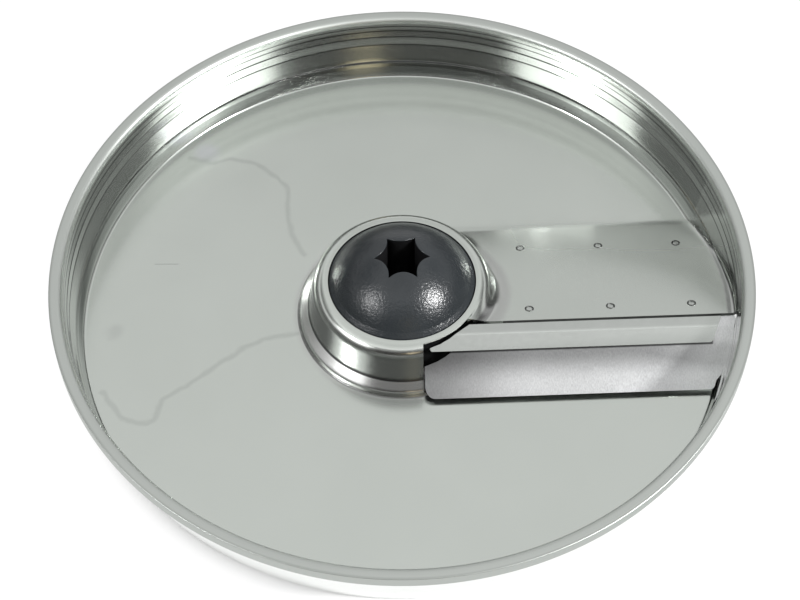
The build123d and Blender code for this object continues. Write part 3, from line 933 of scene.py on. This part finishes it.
def moulded(name, dark, light, rough, texture):
    """Dark grey moulding with an eggshell texture."""
    m, tree, shader, place = material(name)
    tone = toned(tree, place, dark, light, 120.0)
    grain = grained(tree, place, (1700, 1700, 1700))
    tree.links.new(tone.outputs["Color"], shader.inputs["Base Color"])
    tree.links.new(spread(tree, tone.outputs["Mask"], 0, 1, *rough), shader.inputs["Roughness"])
    relief(tree, shader, grain, texture, 0.09 * MM)
    return m, shader


cloudy_tone, drawn_grain, distance_to_segment = cloudy_tone_group(), grain_group(), segment_group()
dish_steel = dish_finish()
# Steel of the dish's outside: polished, and painted far lighter than the inside so that the outer wall reads
# as bright as the floor beside it
rim_outside = steel("rim_outside", (0.88, 0.9, 0.88), (0.93, 0.945, 0.93), (0.1, 0.16),
                    (25, 25, 1800), 0.1)
# Near-black painted shade for cut edges in the gap under the ramp's crest and along the plate's front
painted_shade_steel = steel("painted_shade_edge", (0.1, 0.105, 0.1), (0.16, 0.165, 0.16), (0.5, 0.6), (900, 900, 2600), 0.2)
# Painted highlight: a pale copy of the steel for the cut edge round the collar
painted_highlight_steel = steel("painted_highlight_steel", (0.88, 0.89, 0.87), (0.93, 0.94, 0.92), (0.5, 0.65), (900, 900, 2600), 0.1)
knife_steel = knife_finish()
plate_steel = steel("plate_steel", (0.58, 0.61, 0.58), (0.61, 0.635, 0.61), (0.2, 0.24),
                    (900, 900, 900), 0.01, 60)
weld_shade = steel("weld_shade", (0.1, 0.105, 0.1), (0.16, 0.165, 0.16), (0.35, 0.5), (3000, 3000, 3000), 0.2)
weld_centre = steel("weld_centre", (0.6, 0.63, 0.6), (0.7, 0.73, 0.7), (0.2, 0.32), (3000, 3000, 3000), 0.2)
hub_plastic, shader = moulded("hub_plastic", (0.022, 0.0255, 0.0285), (0.029, 0.0335, 0.037),
                              (0.2, 0.24), 1.0)
shader.inputs["IOR"].default_value = 1.5
# Near-black painted shade for the hub's socket, skirt, hollow and ribs
hub_shade, shader = moulded("hub_painted_shade", (0.006, 0.006, 0.0065), (0.01, 0.01, 0.011), (0.55, 0.65), 0.3)
shader.inputs["Specular IOR Level"].default_value = 0.2

# Pieces
finished("pressed_dish", dish_mesh(), [dish_steel, rim_outside, painted_shade_steel, painted_highlight_steel], "disc", 0.1)
finished("knife", knife_mesh(), [knife_steel], "blade", 0.05)
finished("cover_plate", plate_mesh(), [plate_steel, painted_shade_steel], "cover_strip", 0.08)
finished("star_hub", hub_mesh(), [hub_plastic, hub_shade], "hub")
grown("hub_ribs", rib_tree(), {
    "Count": RIB_COUNT, "Radius": 10.6 * MM, "Size": (4.8 * MM, RIB_THICKNESS * MM, 10.2 * MM),
    "Height": 5.9 * MM, "Finish": hub_shade}, "hub")
weld_y = (WELD_BACK_Y + WELD_FRONT_Y) / 2
welds = {
    "Columns": WELD_COLUMNS, "Rows": 2, "Length": WELD_PITCH * (WELD_COLUMNS - 1) * MM,
    "Width": (WELD_BACK_Y - WELD_FRONT_Y) / SLOPE_COS * MM,
    "Place": ((WELD_X + WELD_PITCH) * MM, weld_y * MM, (SHEET + SLOPE * (FOLD_Y - weld_y)) * MM),
    "Tilt": (-atan(SLOPE), 0, 0)}
grown("weld_rings", weld_tree("weld_ring_rows", False),
      welds | {"Radius": 0.8 * MM, "Thickness": 0.15 * MM, "Finish": weld_shade})
grown("weld_centres", weld_tree("weld_centre_rows", True),
      welds | {"Radius": 0.66 * MM, "Thickness": 0.18, "Finish": weld_centre})


# Camera at the photograph's place

def direction(turn, height):
    """Direction from the disc, by the turn from its front and the angle above the floor."""
    return Vector((sin(turn) * cos(height), -cos(turn) * cos(height), sin(height)))


SENSOR_WIDTH, PICTURE_WIDTH, FOCAL_PIXELS = 36.0, 800, 1985.07
elevation, azimuth, roll = radians(53.993), radians(-2.1008), radians(-0.2847)
distance, shift_x, shift_y = 419.95, 0.4417, -2.416
back = direction(azimuth, elevation)
right = Vector((cos(azimuth), sin(azimuth), 0))
up = back.cross(right)
right, up = cos(roll) * right + sin(roll) * up, -sin(roll) * right + cos(roll) * up
eye = -shift_x * right - shift_y * up + distance * back + Vector((0, 0, SHEET))
camera = bpy.data.objects.new("camera", bpy.data.cameras.new("camera"))
camera.data.sensor_width = SENSOR_WIDTH
camera.data.sensor_fit = "HORIZONTAL"
camera.data.lens = FOCAL_PIXELS * SENSOR_WIDTH / PICTURE_WIDTH
camera.data.clip_start = 0.01
camera.matrix_world = Matrix((
    (right.x, up.x, back.x, eye.x * MM), (right.y, up.y, back.y, eye.y * MM),
    (right.z, up.z, back.z, eye.z * MM), (0, 0, 0, 1)))
bpy.context.scene.collection.objects.link(camera)
bpy.context.scene.camera = camera


# Studio light: softboxes with bright cores beside the camera, and a tent with a ceiling and a pale backdrop

def softbox(name, turn, height, reach, width, depth, glow):
    """Rectangular lamp that faces the disc; glow is its brightness as seen."""
    lamp = bpy.data.lights.new(name, "AREA")
    lamp.shape = "RECTANGLE"
    lamp.size = width
    lamp.size_y = depth
    lamp.energy = glow * pi * width * depth
    box = bpy.data.objects.new(name, lamp)
    box.location = direction(turn, height) * reach
    box.rotation_euler = box.location.to_track_quat("Z", "Y").to_euler()
    bpy.context.scene.collection.objects.link(box)


softbox("left_softbox", radians(-62), radians(38), 0.9, 0.58, 0.22, 2.3)
softbox("right_softbox", radians(62), radians(38), 0.9, 0.58, 0.22, 2.3)
softbox("left_core", radians(-63), radians(39), 0.89, 0.1, 0.1, 55.0)
softbox("right_core", radians(64), radians(39), 0.89, 0.1, 0.1, 230.0)


def gradient(tree, value, stops):
    """Colour ramp on a socket. The first two stops are its ends, and a plain number is a grey."""
    ramp = tree.nodes.new("ShaderNodeValToRGB")
    steps = ramp.color_ramp.elements
    for i, (at, colour) in enumerate(stops):
        step = steps[i] if i < 2 else steps.new(at)
        step.position = at
        step.color = (*colour, 1) if isinstance(colour, tuple) else (colour, colour, colour, 1)
    tree.links.new(value, ramp.inputs[0])
    return ramp.outputs[0]


def tent():
    """Light from all round, by the turn from the camera and by the height as a share of a right angle."""
    world = bpy.data.worlds.new("tent")
    bpy.context.scene.world = world
    world.use_nodes = True
    tree = world.node_tree
    tree.nodes.clear()
    look = tree.nodes.new("ShaderNodeTexCoord").outputs["Generated"]

    def toward(way):
        return vector(tree, "DOT_PRODUCT", look, way)

    height = calc(tree, "DIVIDE", calc(tree, "ARCSINE", toward((0, 0, 1))), pi / 2)
    across = toward((cos(azimuth), sin(azimuth), 0))
    turn = calc(tree, "ABSOLUTE", calc(tree, "ARCTAN2", across, toward((sin(azimuth), -cos(azimuth), 0))))
    ceiling = blend_colours(
        tree, spread(tree, turn, radians(95), radians(135)),
        gradient(tree, height, [
            (0.0, 1.12), (1.0, 0.66), (0.63, 1.12), (0.7, 0.8), (0.76, 0.8), (0.94, 0.62)]),
        gradient(tree, height, [(0.0, 0.68), (1.0, 0.66), (0.58, 0.68), (0.72, 0.77), (0.9, 0.66)]))
    front = gradient(tree, height, [
        (0.0, (0.035, 0.032, 0.03)), (1.0, 0.04), (0.37, (0.04, 0.038, 0.037)), (0.415, (0.2, 0.196, 0.192)),
        (0.44, 0.4), (0.475, 0.4), (0.5, 0.04)])
    side = gradient(tree, height, [
        (0.0, 0.05), (1.0, 0.36), (0.17, 0.05), (0.21, 0.78), (0.33, 0.78), (0.375, 0.06), (0.44, 0.1),
        (0.48, 0.3)])
    rear = gradient(tree, height, [(0.0, 0.05), (1.0, 0.85), (0.17, 0.05), (0.21, 0.72), (0.5, 0.85)])
    side = blend_colours(tree, spread(tree, turn, radians(130), radians(156)), side, rear)
    room = blend_colours(tree, spread(tree, turn, radians(32), radians(44)), front, side)
    backdrop = gradient(tree, height, [(0.0, 0.9), (1.0, 0.58), (0.1, 0.9), (0.2, 0.58)])
    walls = blend_colours(tree, spread(tree, turn, radians(150), radians(172)), room, backdrop)
    colour = blend_colours(tree, spread(tree, height, 48 / 90, 53 / 90), walls, ceiling)
    warm_lamp = toward(direction(radians(9), radians(23.5)))
    warm = spread(tree, warm_lamp, cos(radians(6.5)), cos(radians(4)))
    colour = blend_colours(tree, warm, colour, (1.5, 1.25, 0.85))
    ground = tree.nodes.new("ShaderNodeBackground")
    tree.links.new(colour, ground.inputs["Color"])
    out = tree.nodes.new("ShaderNodeOutputWorld")
    tree.links.new(ground.outputs[0], out.inputs["Surface"])


def paper_floor():
    """White floor that keeps a soft shadow round the disc and a full one under it; its glow fades out towards
    the disc's foot, a painted shadow.
    """
    mesh = bpy.data.meshes.new("floor")
    mesh.from_pydata([(-3, -3, 0), (3, -3, 0), (3, 3, 0), (-3, 3, 0)], [], [(0, 1, 2, 3)])
    floor = piece_of("floor", mesh)
    floor.location.z = -0.2 * MM
    paper = bpy.data.materials.new("floor_paper")
    paper.use_nodes = True
    tree = paper.node_tree
    tree.nodes.clear()
    diffuse = node(tree, "ShaderNodeBsdfDiffuse", Color=(0.86, 0.86, 0.86, 1))
    glow = node(tree, "ShaderNodeEmission", Strength=1.06)
    paths = node(tree, "ShaderNodeLightPath")
    seen = calc(tree, "MAXIMUM", paths.outputs["Is Camera Ray"], paths.outputs["Is Glossy Ray"])
    seen = calc(tree, "MAXIMUM", seen, paths.outputs["Is Transmission Ray"])
    place = tree.nodes.new("ShaderNodeTexCoord").outputs["Object"]
    # The glow fades out between 66 and 71 mm from the axis and is gone under the disc: a painted shadow at
    # its foot, over the real shadow of the diffuse part
    open_floor = spread(tree, vector(tree, "LENGTH", millimetres(tree, place)), 66.0, 71.0, 0.0, 0.88)
    mixed = node(tree, "ShaderNodeMixShader")
    tree.links.new(calc(tree, "MULTIPLY", seen, open_floor), mixed.inputs[0])
    tree.links.new(diffuse.outputs[0], mixed.inputs[1])
    tree.links.new(glow.outputs[0], mixed.inputs[2])
    out = node(tree, "ShaderNodeOutputMaterial")
    tree.links.new(mixed.outputs[0], out.inputs["Surface"])
    mesh.materials.append(paper)


tent()
paper_floor()
bpy.context.scene.view_settings.view_transform = "Standard"
